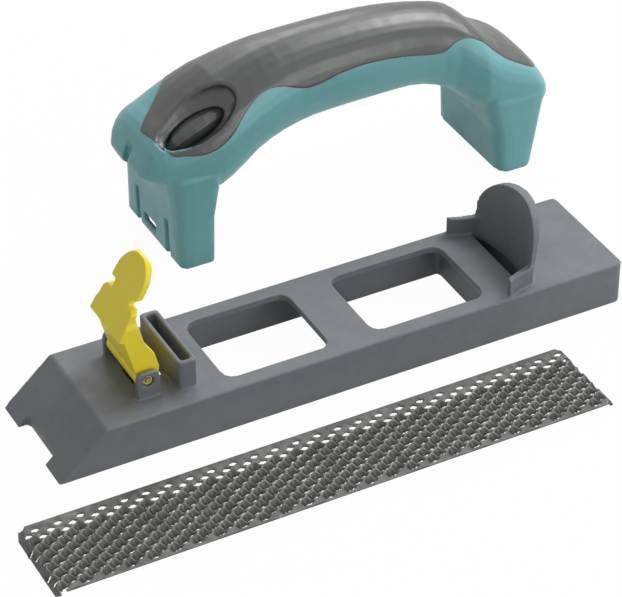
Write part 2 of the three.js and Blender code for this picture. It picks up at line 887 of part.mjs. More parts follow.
// Handle: its top, underside, half width and squareness along its length, as shares
const topShares = [
  [0, 0.54], [0.01, 0.6], [0.04, 0.68], [0.083, 0.73], [0.11, 0.77], [0.145, 0.828], [0.19, 0.888],
  [0.217, 0.91], [0.29, 0.96], [0.362, 0.99], [0.476, 1], [0.569, 0.995], [0.662, 0.97], [0.745, 0.925],
  [0.795, 0.873], [0.843, 0.776], [0.856, 0.74], [0.875, 0.704], [0.9, 0.67], [0.929, 0.629],
  [0.955, 0.579], [0.973, 0.53], [0.99, 0.472], [1, 0.4],
];
const undersideShares = [
  [0, 0.5], [0.02, 0.46], [0.05, 0.44], [0.086, 0.42], [0.12, 0.39], [0.14, 0.36], [0.17, 0.33],
  [0.217, 0.385], [0.269, 0.465], [0.331, 0.515], [0.393, 0.54], [0.465, 0.55], [0.6, 0.55],
  [0.662, 0.545], [0.724, 0.51], [0.786, 0.43], [0.827, 0.33], [0.86, 0.27], [0.9, 0.25], [0.95, 0.27],
  [0.985, 0.3], [1, 0.34],
];
const halfWidthShares = [
  [0, 0.5], [0.01, 0.63], [0.031, 0.79], [0.062, 0.9], [0.124, 0.98], [0.186, 0.98], [0.29, 0.84],
  [0.393, 0.71], [0.517, 0.67], [0.62, 0.64], [0.724, 0.61], [0.775, 0.68], [0.821, 0.87], [0.85, 0.915],
  [0.956, 0.915], [0.9755, 0.85], [0.99, 0.72], [1, 0.5],
];
const crownShares = [[0, 2.6], [0.103, 2.3], [0.31, 2], [0.724, 2], [0.8, 2.2], [0.85, 2.6], [1, 2.6]];
const undersideSquareShare = 2.6;

function handleRing(share, inset) {
  const x = noseX + share * handleLength;
  const top = along(topShares, share) * handleHeight - inset;
  const bottom = along(undersideShares, share) * handleHeight + inset;
  const half = (along(halfWidthShares, share) * handleFootWidth) / 2 - inset;
  const crown = along(crownShares, share);
  const middle = (top + bottom) / 2;
  const rise = (top - bottom) / 2;
  return Array.from({ length: sectionSides }, (_, step) => {
    const turn = (2 * Math.PI * step) / sectionSides;
    const across = Math.cos(turn);
    const upward = Math.sin(turn);
    const power = 2 / (upward > 0 ? crown : undersideSquareShare);
    return new THREE.Vector3(
      x,
      handleY + half * Math.sign(across) * Math.abs(across) ** power,
      middle + rise * Math.sign(upward) * Math.abs(upward) ** power,
    );
  });
}

function handleArch(inset) {
  const first = inset / handleLength;
  const rings = Array.from({ length: sectionCount + 1 }, (_, index) => {
    const even = index / sectionCount;
    const eased = even - Math.sin(2 * Math.PI * even) / (4 * Math.PI);
    return handleRing(first + eased * (1 - 2 * first), inset);
  });
  return loft(rings);
}

// Feet from the floor up. Each row: height, front edge, rear edge, half width, front and rear corners
const frontFootShares = [
  [0, 0, 0, 1, 1, 0.7],
  [0.5, -0.05, 0.03, 1, 1.5, 0.7],
  [0.83, -0.11, 0.2, 1, 1.7, 0.8],
  [0.97, -0.11, 0.23, 0.99, 1.7, 0.8],
  [1.09, 0.1, 0.2, 0.8, 1, 0.8],
];
const rearFootShares = [
  [0, 0, 0, 1, 1.2, 1.2],
  [0.43, -0.06, 0.23, 1, 1.3, 1.5],
  [0.78, -0.29, 0.46, 0.95, 1.5, 1.6],
  [0.9, -0.35, 0.42, 0.88, 1.6, 1.6],
  [1, -0.35, 0.14, 0.74, 1.6, 1.6],
];

function footRing([x0, x1], half, z, [frontRadius, rearRadius]) {
  const radii = [frontRadius, rearRadius, rearRadius, frontRadius];
  const shape = rectangle([x0, x1], [handleY - half, handleY + half], radii);
  return shape.getPoints(arcSteps).slice(0, -1).map((point) => new THREE.Vector3(point.x, point.y, z));
}

function foot(rows, front, back) {
  const length = back - front;
  return loft(rows.map(([rise, ahead, behind, wide, frontCorner, rearCorner]) => footRing(
    [front + ahead * length, back + behind * length],
    (wide * handleFootWidth) / 2,
    rise * footHeight,
    [frontCorner * footRadius, rearCorner * footRadius],
  )));
}

function handleOuter() {
  return join([
    handleArch(0),
    foot(frontFootShares, frontFootX, frontFootX + frontFootLength),
    foot(rearFootShares, rearFootX, rearFootEnd),
  ]);
}

// Black zone: above a wavy line in side view and inside an outline in plan
const blackLowerShares = [
  [0, 0.66], [0.052, 0.645], [0.083, 0.65], [0.134, 0.65], [0.181, 0.69], [0.2275, 0.785], [0.274, 0.85],
  [0.32, 0.86], [0.383, 0.81], [0.414, 0.805], [0.476, 0.83], [0.538, 0.835], [0.62, 0.815],
  [0.703, 0.77], [0.734, 0.765], [0.76, 0.79], [0.79, 0.77], [0.838, 0.66], [0.89, 0.55], [0.93, 0.47],
  [0.972, 0.43], [1, 0.42],
];
const blackNearShares = [
  [0.036, 0.05], [0.038, 0.25], [0.043, 0.45], [0.052, 0.65], [0.066, 0.85], [0.085, 1], [0.104, 1.1],
  [0.69, 1.1], [0.715, 0.85], [0.745, 0.6], [0.775, 0.56], [0.81, 0.58], [0.86, 0.66], [0.9, 0.72],
  [0.9485, 0.72], [0.965, 0.62], [0.977, 0.45], [0.985, 0.05],
];
const blackFarShares = [
  [0.036, -0.03], [0.062, 0.15], [0.104, 0.4], [0.145, 0.7], [0.186, 1.1], [0.714, 1.1], [0.745, 0.95],
  [0.775, 0.8], [0.806, 0.73], [0.9, 0.73], [0.9485, 0.7], [0.965, 0.6], [0.977, 0.45], [0.985, 0.05],
];
const blackSteps = 64;

function blackZone(grow) {
  const shares = Array.from({ length: blackSteps + 1 }, (_, index) => index / blackSteps);
  const lower = shares.map((share) => new THREE.Vector2(
    noseX + share * handleLength,
    along(blackLowerShares, share) * handleHeight - grow,
  ));
  const above = handleHeight + handleFootWidth;
  const outline = new THREE.Shape([
    ...lower,
    new THREE.Vector2(noseX + handleLength, above),
    new THREE.Vector2(noseX, above),
  ]);
  const spread = [handleY - handleFootWidth, handleY + handleFootWidth];
  const first = blackNearShares[0][0];
  const final = blackNearShares[blackNearShares.length - 1][0];
  const edge = (table, side) => shares.map((share) => {
    const at = first + share * (final - first);
    const half = (along(table, at) * handleFootWidth) / 2 + grow;
    return new THREE.Vector2(noseX + at * handleLength + (2 * share - 1) * grow, handleY + side * half);
  });
  const plan = new THREE.Shape([...edge(blackNearShares, -1), ...edge(blackFarShares, 1).reverse()]);
  return prismY(outline, spread).intersect(prismZ(plan, [0, above]));
}

// Thumb recess on the near shoulder of the nose, and the button in it
function recessFrame() {
  const x = noseX + recessFromNose;
  const share = recessFromNose / handleLength;
  const top = along(topShares, share) * handleHeight;
  const bottom = along(undersideShares, share) * handleHeight;
  const half = (along(halfWidthShares, share) * handleFootWidth) / 2;
  const z = (top + bottom) / 2 + ((top - bottom) / 2) * Math.sqrt(1 - (recessSide / half) ** 2);
  const frame = new THREE.Matrix4().makeTranslation(x, handleY - recessSide, z);
  frame.multiply(new THREE.Matrix4().makeRotationY(-recessSlope * degree));
  frame.multiply(new THREE.Matrix4().makeRotationX(recessTilt * degree));
  return frame;
}

function ellipsoid(length, width, height, sides) {
  return new THREE.SphereGeometry(1 / 2, sides, Math.round(sides / 2)).scale(length, width, height);
}

function recessCut(grow) {
  const bowl = ellipsoid(
    recessLength + 2 * grow,
    recessWidth + 2 * grow,
    2 * (recessDepth + grow),
    roundSides,
  );
  return solid(bowl.applyMatrix4(recessFrame()));
}

function ovalShape(length, width) {
  const shape = new THREE.Shape();
  shape.absellipse(0, 0, length / 2, width / 2, 0, 2 * Math.PI, false, 0);
  return shape;
}

function ovalColumn(length, width, [low, high]) {
  return new THREE.ExtrudeGeometry(ovalShape(length, width), {
    depth: high - low,
    bevelEnabled: false,
    curveSegments: roundSides / 2,
  }).translate(0, 0, low);
}

const buttonBottom = -recessDepth - buttonDepth;
const buttonTop = -recessDepth + buttonCrown + buttonTravel;

function inRecess(geometry) {
  return geometry.translate(-buttonShift, -buttonShift, 0).applyMatrix4(recessFrame());
}

function buttonWell() {
  const floor = buttonBottom - buttonTravel - springDiameter / 2;
  const well = ovalColumn(buttonLength + 2 * seam, buttonWidth + 2 * seam, [floor, recessDepth]);
  return solid(inRecess(well));
}

function releaseButton() {
  const skirt = solid(ovalColumn(buttonLength, buttonWidth, [buttonBottom, buttonTop]));
  const rise = buttonTop - buttonBottom;
  const wide = [buttonLength, buttonWidth].map((size) => size * buttonDomeShare);
  const dome = solid(ellipsoid(...wide, 2 * rise, roundSides).translate(0, 0, buttonBottom));
  const spot = solid(ovalColumn(
    springDiameter + springWire,
    springDiameter + springWire,
    [buttonBottom - cut, buttonBottom + springWire],
  ));
  const cap = geometryOf(skirt.intersect(dome).subtract(spot));
  return solid(inRecess(cap));
}

class Helix extends THREE.Curve {
  constructor(radius, low, high, turns) {
    super();
    this.radius = radius;
    this.low = low;
    this.high = high;
    this.turns = turns;
  }

  getPoint(share, target = new THREE.Vector3()) {
    const turn = 2 * Math.PI * this.turns * share;
    return target.set(
      this.radius * Math.cos(turn),
      this.radius * Math.sin(turn),
      this.low + share * (this.high - this.low),
    );
  }
}

function buttonSpring() {
  const floor = buttonBottom - buttonTravel - springDiameter / 2;
  const low = floor + springWire / 2 + seam;
  const high = buttonBottom + springWire / 2 - seam;
  const wire = new THREE.Shape();
  wire.absellipse(0, 0, springWire / 2, springWire / 2, 0, 2 * Math.PI, false, 0);
  const coil = new THREE.ExtrudeGeometry(wire, {
    steps: springTurns * coilSteps,
    curveSegments: wireSteps,
    bevelEnabled: false,
    extrudePath: new Helix(springDiameter / 2 - springWire / 2, low, high, springTurns),
  });
  return solid(inRecess(coil));
}

function socket([x0, x1], held, height) {
  const half = held / 2 + socketPlay;
  const plan = rectangle([x0, x1], [handleY - half, handleY + half], footWall / 2);
  return prismZ(plan, [-cut, height + socketPlay]);
}

function frontFaceCuts() {
  const slots = [-1, 1].map((side) => {
    const y = handleY + (side * frontFaceSlotSpacing) / 2;
    return block(
      [frontFootX - cut, frontFootX + frontFaceSlotDepth],
      [y - frontFaceSlotWidth / 2, y + frontFaceSlotWidth / 2],
      [-cut, frontFaceSlotHeight],
    );
  });
  const windowY = handleY + catchWindowShift;
  const window = block(
    [frontFootX - cut, frontFootX + frontFootLength / 2],
    [windowY - catchWindowWidth / 2, windowY + catchWindowWidth / 2],
    [catchWindowBase, catchWindowBase + catchWindowHeight],
  );
  const groove = block(
    [noseX - cut, noseX + noseGrooveDepth],
    [handleY - noseGrooveWidth / 2, handleY + noseGrooveWidth / 2],
    [0, handleHeight],
  );
  return [...slots, window, groove];
}

const outer = handleOuter();

function handleBody() {
  const core = handleArch(gripThickness + seam).subtract(recessCut(gripThickness + seam));
  const shell = outer.subtract(blackZone(seam));
  const frontInside = [frontFootX + footWall, frontFootX + frontFootLength - footWall];
  return drill(shell.add(core), [
    buttonWell(),
    socket(frontInside, postWidth, postHeight),
    socket([rearFootX + footWall, rearFootEnd - footWall], leafWidth, leafHeight),
    ...frontFaceCuts(),
  ]);
}

function softGrip() {
  const core = handleArch(gripThickness).subtract(recessCut(gripThickness));
  const skin = outer.subtract(recessCut(0)).intersect(blackZone(0));
  return drill(skin, [core, buttonWell()]);
}

const baseGrey = 0x6f7277;
const teal = 0x5f9696;
const softBlack = 0x3c3d40;
const yellow = 0xd7c841;
const steel = 0x5f5f5f;
const bright = 0x9a9a9a;

const plane = new THREE.Group();
plane.add(
  named("base_body", baseBody(), baseGrey, 0.6, 0),
  named("lever_pin", leverPin(), bright, 0.35, 1),
  named("tension_lever", tensionLever(), yellow, 0.5, 0),
  named("hook_pin", hookPin(), bright, 0.35, 1),
  named("tension_hook", tensionHook(), steel, 0.45, 1),
  named("rear_anchor_plate", anchorPlate(), steel, 0.45, 1),
  named("anchor_screw_near", anchorScrew(-1), bright, 0.35, 1),
  named("anchor_screw_far", anchorScrew(1), bright, 0.35, 1),
  named("rasp_blade", raspBlade(), steel, 0.5, 1),
  named("handle_body", handleBody(), teal, 0.55, 0),
  named("soft_grip", softGrip(), softBlack, 0.75, 0),
  named("release_button", releaseButton(), softBlack, 0.5, 0),
  named("button_spring", buttonSpring(), bright, 0.35, 1),
);

export default plane;
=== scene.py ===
import math

import bpy
import numpy as np
from mathutils import Matrix, Vector
from mathutils.bvhtree import BVHTree


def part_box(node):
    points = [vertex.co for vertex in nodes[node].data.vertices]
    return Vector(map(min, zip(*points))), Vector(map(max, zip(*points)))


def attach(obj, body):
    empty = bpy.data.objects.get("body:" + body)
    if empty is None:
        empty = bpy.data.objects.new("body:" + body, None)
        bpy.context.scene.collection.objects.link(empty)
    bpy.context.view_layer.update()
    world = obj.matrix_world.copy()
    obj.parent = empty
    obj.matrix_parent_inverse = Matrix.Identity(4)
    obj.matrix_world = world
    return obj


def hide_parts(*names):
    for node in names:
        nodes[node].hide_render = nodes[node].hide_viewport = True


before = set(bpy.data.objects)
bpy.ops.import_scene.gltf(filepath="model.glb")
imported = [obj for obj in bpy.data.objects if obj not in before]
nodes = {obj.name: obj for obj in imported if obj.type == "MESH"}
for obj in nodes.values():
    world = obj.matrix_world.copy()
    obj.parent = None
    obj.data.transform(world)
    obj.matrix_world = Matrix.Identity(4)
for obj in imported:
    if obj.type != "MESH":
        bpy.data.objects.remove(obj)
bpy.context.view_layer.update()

# Lengths are in metres, and a size in millimetres is written times MM
MM = 0.001

# Camera, with angles in degrees
CAMERA_AZIMUTH = -27.93
CAMERA_ELEVATION = 36.45
CAMERA_DISTANCE = 1182.16 * MM
CAMERA_TARGET = Vector((-16.1, -2.0, 31.84)) * MM
FOCAL_PIXELS = 2858.84
IMAGE_LONG_SIDE = 622
SENSOR_WIDTH = 36.0

# Fine surfaces made over the plain solids
BASE_VOXEL = 0.55 * MM
BASE_ROUNDS = 5
LEVER_VOXEL = 0.35 * MM
LEVER_ROUNDS = 8
HANDLE_VOXEL = 0.7 * MM
HANDLE_ROUNDS = 26
BUTTON_VOXEL = 0.35 * MM
BUTTON_ROUNDS = 10
RELAX_IN = 0.5
RELAX_OUT = -0.52

# Soft grip laid over the handle's skin
GRIP_BURIED = 0.3 * MM
GRIP_RAISED = 0.25 * MM
GRIP_EDGE_LOW = -0.4 * MM
GRIP_EDGE_HIGH = 0.5 * MM
GRIP_REACH = 0.9 * MM
GRIP_FIELD_ROUNDS = 12
GRIP_FIELD_LIMIT = 2.0 * MM

# Rasp blade, in millimetres until its points are placed
BLADE_LENGTH = 254.4
BLADE_WIDTH = 41.4
BLADE_THICKNESS = 0.7
BLADE_STRIP = 4.5
BLADE_BEND = math.radians(68.0)
BLADE_BEND_LENGTH = 1.8
BLADE_PROFILE_STEPS = 4001
BLADE_GRID = 0.42
SNAP_ROUNDS = 2
SNAP_REACH = BLADE_GRID * 0.6
SNAP_NUDGE = BLADE_GRID / 20
SNAP_LEAST_STEEPNESS = 0.2

# Holes and teeth, in millimetres: holes two rows apart form the slanting lines
HOLE_PITCH = 9.5
HOLE_ROW_PITCH = 2.36
HOLE_ROW_SHIFT = 5.48
HOLE_ROWS = 16
HOLE_FAR_MARGIN = 3.7
HOLE_HALF_LENGTH = 2.0
HOLE_HALF_WIDTH = 1.45
HOLE_MEAN_RADIUS = (HOLE_HALF_LENGTH + HOLE_HALF_WIDTH) / 2
HOLE_POWER = 1.3
SLANT_ROWS = 2
PLAIN_ROWS = 3
PLAIN_DEPTH = 0.3
TOOTH_DEPTH = 3.1
TOOTH_LENGTH = 3.5
TOOTH_HALF_WIDTH = 1.65
TOOTH_BACK = 0.5
NOTCH_FROM_END = 4.6
NOTCH_RADIUS = 1.8
CORNER_CUT = 3.0

# Noise in the materials: a low and a high are the values at which a mask starts and is full
GRAIN_DETAIL = 2.0
MOTTLE_DETAIL = 3.0
MOTTLE_LOW = 0.4
MOTTLE_HIGH = 0.7
PATCH_LOW = 0.3
PATCH_HIGH = 0.7
# Patchy noise on the lighter convex edges: wear, and on steel also a painted highlight
WEAR_AND_HIGHLIGHT_SCALE = 160.0
WEAR_AND_HIGHLIGHT_DETAIL = 4.0
WEAR_AND_HIGHLIGHT_LOW = 0.42
WEAR_AND_HIGHLIGHT_HIGH = 0.62
EDGE_LOW = 0.515
EDGE_HIGH = 0.57
DRAWN_ALONG_X = (0.2, 1, 1)
DRAWN_ALONG_Y = (1, 0.2, 1)

# Sheen, metal and depth of the grain
RUBBER_SHEEN = 0.9
STEEL_METALLIC = 0.75
PLASTIC_GRAIN_DEPTH = 0.05 * MM
RUBBER_GRAIN_DEPTH = 0.07 * MM
STEEL_GRAIN_DEPTH = 0.05 * MM

# Light, with powers in watts and places and sizes in metres
WORLD_STRENGTH = 0.38
KEY_POWER = 22.0
KEY_SIZE = 1.0
KEY_PLACE = Vector((1.25, 0.4, 1.4))
FILL_POWER = 11.0
FILL_SIZE = 1.2
FILL_PLACE = Vector((0.8, -1.6, 0.8))
BACK_POWER = 7.0
BACK_SIZE = 0.8
BACK_PLACE = Vector((0.55, 1.5, 1.15))
FLOOR_SIZE = 12.0
FLOOR_DROP = 0.02 * MM
FLOOR_GREY = 0.55
FLOOR_ROUGHNESS = 0.9
FLOOR_WHITE_SHARE = 0.97
WHITE = (1, 1, 1, 1)


def make_camera():
    azimuth = math.radians(CAMERA_AZIMUTH)
    elevation = math.radians(CAMERA_ELEVATION)
    flat = math.cos(elevation)
    back = Vector((math.sin(azimuth) * flat, -math.cos(azimuth) * flat, math.sin(elevation)))
    right = Vector((math.cos(azimuth), math.sin(azimuth), 0))
    up = back.cross(right)
    data = bpy.data.cameras.new("camera")
    data.sensor_width = SENSOR_WIDTH
    data.lens = FOCAL_PIXELS / IMAGE_LONG_SIDE * SENSOR_WIDTH
    camera = bpy.data.objects.new("camera", data)
    place = CAMERA_TARGET + back * CAMERA_DISTANCE
    camera.matrix_world = Matrix.Translation(place) @ Matrix((right, up, back)).transposed().to_4x4()
    bpy.context.scene.collection.objects.link(camera)
    bpy.context.scene.camera = camera


make_camera()


# Meshes

def new_object(name, mesh):
    made = bpy.data.objects.new(name, mesh)
    bpy.context.scene.collection.objects.link(made)
    return made


def coordinates(mesh):
    points = np.empty(len(mesh.vertices) * 3)
    mesh.vertices.foreach_get("co", points)
    return points.reshape(-1, 3)


def vertex_normals(mesh):
    normals = np.empty(len(mesh.vertices) * 3)
    mesh.vertices.foreach_get("normal", normals)
    return normals.reshape(-1, 3)


def edge_ends(mesh):
    ends = np.empty(len(mesh.edges) * 2, dtype=np.int64)
    mesh.edges.foreach_get("vertices", ends)
    return ends.reshape(-1, 2)


def neighbour_mean(values, ends, count):
    """The mean of each vertex's neighbours, for one value or three per vertex."""
    values = values.reshape(count, -1)
    first, second = ends[:, 0], ends[:, 1]
    degree = np.bincount(first, minlength=count) + np.bincount(second, minlength=count)
    columns = []
    for column in values.T:
        total = np.bincount(first, weights=column[second], minlength=count)
        total += np.bincount(second, weights=column[first], minlength=count)
        columns.append(total / np.maximum(degree, 1))
    return np.stack(columns, axis=1)


def relax(mesh, rounds):
    """Rounds off edges without shrinking the whole: each inward step is followed by an outward one."""
    points = coordinates(mesh)
    ends = edge_ends(mesh)
    for _ in range(rounds):
        for share in (RELAX_IN, RELAX_OUT):
            points = points + share * (neighbour_mean(points, ends, len(points)) - points)
    mesh.vertices.foreach_set("co", points.ravel())
    mesh.update()


def smooth_shaded(mesh):
    mesh.polygons.foreach_set("use_smooth", np.ones(len(mesh.polygons), dtype=bool))
    mesh.update()


def joined_mesh(name, node_names):
    points = []
    faces = []
    for node in node_names:
        source = nodes[node].data
        start = sum(len(part) for part in points)
        points.append(coordinates(source))
        faces += [[start + index for index in polygon.vertices] for polygon in source.polygons]
    mesh = bpy.data.meshes.new(name)
    mesh.from_pydata(np.concatenate(points).tolist(), [], faces)
    return mesh


def with_modifiers(made):
    """Gives an object the mesh that its modifiers make of it, and drops them."""
    graph = bpy.context.evaluated_depsgraph_get()
    mesh = bpy.data.meshes.new_from_object(made.evaluated_get(graph))
    made.modifiers.clear()
    made.data = mesh
    return mesh


def fine_mesh(name, node_names, voxel, rounds):
    """One even, rounded skin around the plain solids named."""
    made = new_object(name, joined_mesh(name, node_names))
    remesh = made.modifiers.new("voxels", "REMESH")
    remesh.mode = "VOXEL"
    remesh.voxel_size = voxel
    remesh.adaptivity = 0
    mesh = with_modifiers(made)
    relax(mesh, rounds)
    smooth_shaded(mesh)
    return made


# Materials

def math_node(tree, operation, first, second):
    """One value worked out from a socket and another socket or a number."""
    node = tree.nodes.new("ShaderNodeMath")
    node.operation = operation
    tree.links.new(first, node.inputs[0])
    if isinstance(second, bpy.types.NodeSocket):
        tree.links.new(second, node.inputs[1])
    else:
        node.inputs[1].default_value = second
    return node.outputs[0]


def mix_shaders(tree, share, first, second, output):
    """Ends a tree in a mix: the first shader where the share is 0, the second where it is 1."""
    mix = tree.nodes.new("ShaderNodeMixShader")
    for socket, source in zip(mix.inputs, (share, first, second)):
        tree.links.new(source, socket)
    tree.links.new(mix.outputs[0], tree.nodes[output].inputs["Surface"])


class Surface:
    """A procedural material: a base colour with soft mottling, lighter convex edges (wear, and on steel
    also a painted highlight), rough patches and a grain.
    """

    def __init__(self, name, colour, roughness, metallic=0.0):
        self.material = bpy.data.materials.new(name)
        self.material.use_nodes = True
        self.tree = self.material.node_tree
        self.shader = self.tree.nodes["Principled BSDF"]
        self.shader.inputs["Roughness"].default_value = roughness
        self.shader.inputs["Metallic"].default_value = metallic
        self.place = self.tree.nodes.new("ShaderNodeTexCoord").outputs["Object"]
        self.colour = self.tree.nodes.new("ShaderNodeRGB").outputs[0]
        self.colour.default_value = (*colour, 1.0)
        self.roughness = roughness
        self.height = None

    def noise(self, scale, detail, stretch=None):
        node = self.tree.nodes.new("ShaderNodeTexNoise")
        node.inputs["Scale"].default_value = scale
        node.inputs["Detail"].default_value = detail
        place = self.place
        if stretch:
            mapping = self.tree.nodes.new("ShaderNodeMapping")
            mapping.inputs["Scale"].default_value = stretch
            self.tree.links.new(place, mapping.inputs["Vector"])
            place = mapping.outputs["Vector"]
        self.tree.links.new(place, node.inputs["Vector"])
        return node.outputs["Fac"]

    def spread(self, value, low, high, out_low, out_high):
        node = self.tree.nodes.new("ShaderNodeMapRange")
        node.inputs["From Min"].default_value = low
        node.inputs["From Max"].default_value = high
        node.inputs["To Min"].default_value = out_low
        node.inputs["To Max"].default_value = out_high
        self.tree.links.new(value, node.inputs["Value"])
        return node.outputs["Result"]

    def tint(self, mask, colour):
        node = self.tree.nodes.new("ShaderNodeMix")
        node.data_type = "RGBA"
        self.tree.links.new(mask, node.inputs["Factor"])
        self.tree.links.new(self.colour, node.inputs["A"])
        node.inputs["B"].default_value = (*colour, 1.0)
        self.colour = node.outputs["Result"]

    def mottle(self, scale, colour, most):
        mask = self.spread(self.noise(scale, MOTTLE_DETAIL), MOTTLE_LOW, MOTTLE_HIGH, 0.0, most)
        self.tint(mask, colour)

    # Convex edges made lighter: wear on plastic and rubber, and partly a painted highlight on steel
    def worn_and_highlit_edges(self, colour, most):
        geometry = self.tree.nodes.new("ShaderNodeNewGeometry")
        edge = self.spread(geometry.outputs["Pointiness"], EDGE_LOW, EDGE_HIGH, 0.0, 1.0)
        patchy = self.spread(self.noise(WEAR_AND_HIGHLIGHT_SCALE, WEAR_AND_HIGHLIGHT_DETAIL), WEAR_AND_HIGHLIGHT_LOW, WEAR_AND_HIGHLIGHT_HIGH, 0.0, most)
        self.tint(math_node(self.tree, "MULTIPLY", edge, patchy), colour)

    def rough_patches(self, scale, change):
        value = self.noise(scale, MOTTLE_DETAIL)
        smooth, rough = self.roughness - change, self.roughness + change
        value = self.spread(value, PATCH_LOW, PATCH_HIGH, smooth, rough)
        self.tree.links.new(value, self.shader.inputs["Roughness"])

    def grain(self, scale, strength, stretch=None):
        value = self.spread(self.noise(scale, GRAIN_DETAIL, stretch), 0.0, 1.0, 0.0, strength)
        if self.height is None:
            self.height = value
        else:
            self.height = math_node(self.tree, "ADD", self.height, value)

    def done(self, bump, depth):
        self.tree.links.new(self.colour, self.shader.inputs["Base Color"])
        node = self.tree.nodes.new("ShaderNodeBump")
        node.inputs["Strength"].default_value = bump
        node.inputs["Distance"].default_value = depth
        self.tree.links.new(self.height, node.inputs["Height"])
        self.tree.links.new(node.outputs["Normal"], self.shader.inputs["Normal"])
        return self.material


def moulded(name, colour, light, dark, roughness):
    surface = Surface(name, colour, roughness)
    surface.mottle(scale=22.0, colour=dark, most=0.35)
    surface.mottle(scale=260.0, colour=light, most=0.12)
    surface.worn_and_highlit_edges(colour=light, most=0.35)
    surface.rough_patches(scale=90.0, change=0.07)
    surface.grain(scale=1500.0, strength=0.6)
    surface.grain(scale=5200.0, strength=0.25)
    return surface.done(bump=0.5, depth=PLASTIC_GRAIN_DEPTH)


def rubbery(name, colour, light, dark, roughness):
    surface = Surface(name, colour, roughness)
    surface.shader.inputs["Specular IOR Level"].default_value = RUBBER_SHEEN
    surface.mottle(scale=30.0, colour=dark, most=0.3)
    surface.mottle(scale=420.0, colour=light, most=0.16)
    surface.worn_and_highlit_edges(colour=light, most=0.25)
    surface.rough_patches(scale=120.0, change=0.06)
    surface.grain(scale=1900.0, strength=0.8)
    surface.grain(scale=700.0, strength=0.3)
    return surface.done(bump=0.7, depth=RUBBER_GRAIN_DEPTH)


def steel(name, colour, light, dark, roughness, drawn):
    surface = Surface(name, colour, roughness, STEEL_METALLIC)
    surface.mottle(scale=60.0, colour=dark, most=0.5)
    surface.mottle(scale=500.0, colour=light, most=0.25)
    # Strong lighter convex edges: partly wear, partly a painted highlight along the blade's ridges
    surface.worn_and_highlit_edges(colour=light, most=0.6)
    surface.rough_patches(scale=200.0, change=0.1)
    surface.grain(scale=900.0, strength=0.5, stretch=drawn)
    surface.grain(scale=3000.0, strength=0.3)
    return surface.done(bump=0.45, depth=STEEL_GRAIN_DEPTH)


grey_plastic = moulded(
    "grey_plastic",
    colour=(0.16, 0.171, 0.186),
    light=(0.25, 0.26, 0.28),
    dark=(0.135, 0.145, 0.158),
    roughness=0.6,
)

teal_plastic = moulded(
    "teal_plastic",
    colour=(0.155, 0.41, 0.43),
    light=(0.24, 0.51, 0.525),
    dark=(0.135, 0.375, 0.395),
    roughness=0.42,
)

yellow_plastic = moulded(
    "yellow_plastic",
    colour=(0.98, 0.8, 0.03),
    light=(0.99, 0.88, 0.16),
    dark=(0.92, 0.71, 0.02),
    roughness=0.45,
)

soft_black = rubbery(
    "soft_black",
    colour=(0.034, 0.036, 0.037),
    light=(0.075, 0.077, 0.078),
    dark=(0.024, 0.025, 0.026),
    roughness=0.37,
)

button_black = rubbery(
    "button_black",
    colour=(0.024, 0.025, 0.026),
    light=(0.06, 0.06, 0.06),
    dark=(0.017, 0.018, 0.018),
    roughness=0.4,
)

blade_steel = steel(
    "blade_steel",
    colour=(0.085, 0.085, 0.083),
    light=(0.2, 0.2, 0.195),
    dark=(0.045, 0.045, 0.043),
    roughness=0.45,
    drawn=DRAWN_ALONG_X,
)

dark_steel = steel(
    "dark_steel",
    colour=(0.2, 0.2, 0.2),
    light=(0.4, 0.4, 0.4),
    dark=(0.12, 0.12, 0.12),
    roughness=0.42,
    drawn=DRAWN_ALONG_X,
)

bright_steel = steel(
    "bright_steel",
    colour=(0.5, 0.5, 0.5),
    light=(0.7, 0.7, 0.7),
    dark=(0.36, 0.36, 0.36),
    roughness=0.3,
    drawn=DRAWN_ALONG_Y,
)


def dress(made, material):
    made.data.materials.clear()
    made.data.materials.append(material)


# Handle: one fine skin, with the soft grip laid over part of it

def search_tree(node):
    """A search tree for the nearest place on a plain solid."""
    source = nodes[node].data
    faces = [list(polygon.vertices) for polygon in source.polygons]
    return BVHTree.FromPolygons(coordinates(source).tolist(), faces)


def grip_field(mesh):
    """How much nearer each point is to the soft grip than to the handle's body."""
    grip = search_tree("soft_grip")
    body = search_tree("handle_body")
    points = coordinates(mesh)
    field = np.empty(len(points))
    for index, point in enumerate(points):
        place = Vector(point)
        to_grip = grip.find_nearest(place)[3]
        to_body = body.find_nearest(place)[3]
        field[index] = to_body - to_grip
    field = np.clip(field, -GRIP_FIELD_LIMIT, GRIP_FIELD_LIMIT)
    ends = edge_ends(mesh)
    for _ in range(GRIP_FIELD_ROUNDS):
        field = (field + neighbour_mean(field, ends, len(field))[:, 0]) / 2
    return field


def eased(share):
    """A share from 0 to 1 that starts and ends gently."""
    return share * share * (3 - 2 * share)


def grip_sheet(skin, field):
    """The part of the skin that the grip covers: raised inside its edge and sunk outside it."""
    share = eased(np.clip((field - GRIP_EDGE_LOW) / (GRIP_EDGE_HIGH - GRIP_EDGE_LOW), 0, 1))
    lift = (GRIP_RAISED + GRIP_BURIED) * share - GRIP_BURIED
    raised = coordinates(skin) + vertex_normals(skin) * lift[:, None]
    kept = field > -GRIP_REACH
    numbers = np.cumsum(kept) - 1
    faces = [
        [int(numbers[index]) for index in polygon.vertices]
        for polygon in skin.polygons
        if all(kept[index] for index in polygon.vertices)
    ]
    mesh = bpy.data.meshes.new("grip")
    mesh.from_pydata(raised[kept].tolist(), [], faces)
    smooth_shaded(mesh)
    return mesh


def make_handle():
    body = fine_mesh("handle_skin", ["handle_body", "soft_grip"], HANDLE_VOXEL, HANDLE_ROUNDS)
    field = grip_field(body.data)
    grip = new_object("grip_skin", grip_sheet(body.data, field))
    dress(body, teal_plastic)
    dress(grip, soft_black)
    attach(body, "handle")
    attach(grip, "handle")
    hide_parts("handle_body")
    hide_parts("soft_grip")


